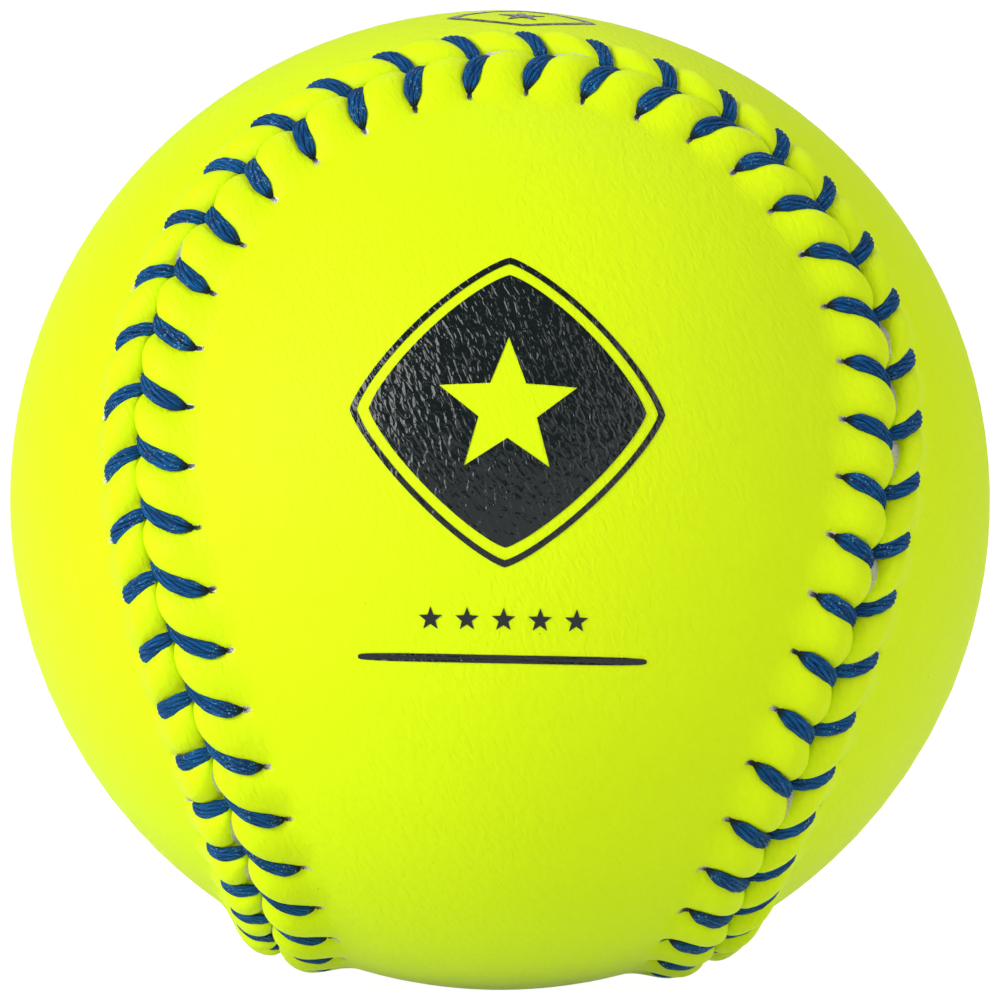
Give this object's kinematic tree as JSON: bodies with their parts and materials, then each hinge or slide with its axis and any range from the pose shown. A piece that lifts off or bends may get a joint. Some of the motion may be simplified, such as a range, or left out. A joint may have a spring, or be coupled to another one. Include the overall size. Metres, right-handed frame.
{
  "type": "softball",
  "caption": "Sewn ball with a solid moulded core and figure-eight cover panels, laced along a closed seam of raised V stitches.",
  "frame": {"origin": "centre of the ball", "axes": "+Z towards the middle of the top panel's waist, -Z towards the middle of the front panel's waist, -Y towards the front panel's front lobe, +X towards the top panel's right lobe"},
  "size_m": [0.097, 0.097, 0.097],
  "materials": {
    "core_foam": "dense moulded polyurethane with a dull skin",
    "cement": "dried contact cement",
    "felt_backing": "needled off-white felt",
    "yellow_cover": "optic yellow synthetic leather with a fine pebble grain, satin",
    "blue_thread": "waxed multi-filament thread",
    "print_foil": "dark green-black hot-stamped foil, for the plain print on the cover"
  },
  "bodies": {
    "root": {"core": "core_foam", "cement_film": "cement", "front_panel_backing": "felt_backing", "front_panel_face": "yellow_cover", "top_panel_backing": "felt_backing", "top_panel_face": "yellow_cover", "thread_a": "blue_thread", "thread_b": "blue_thread"}
  },
  "joints": []
}
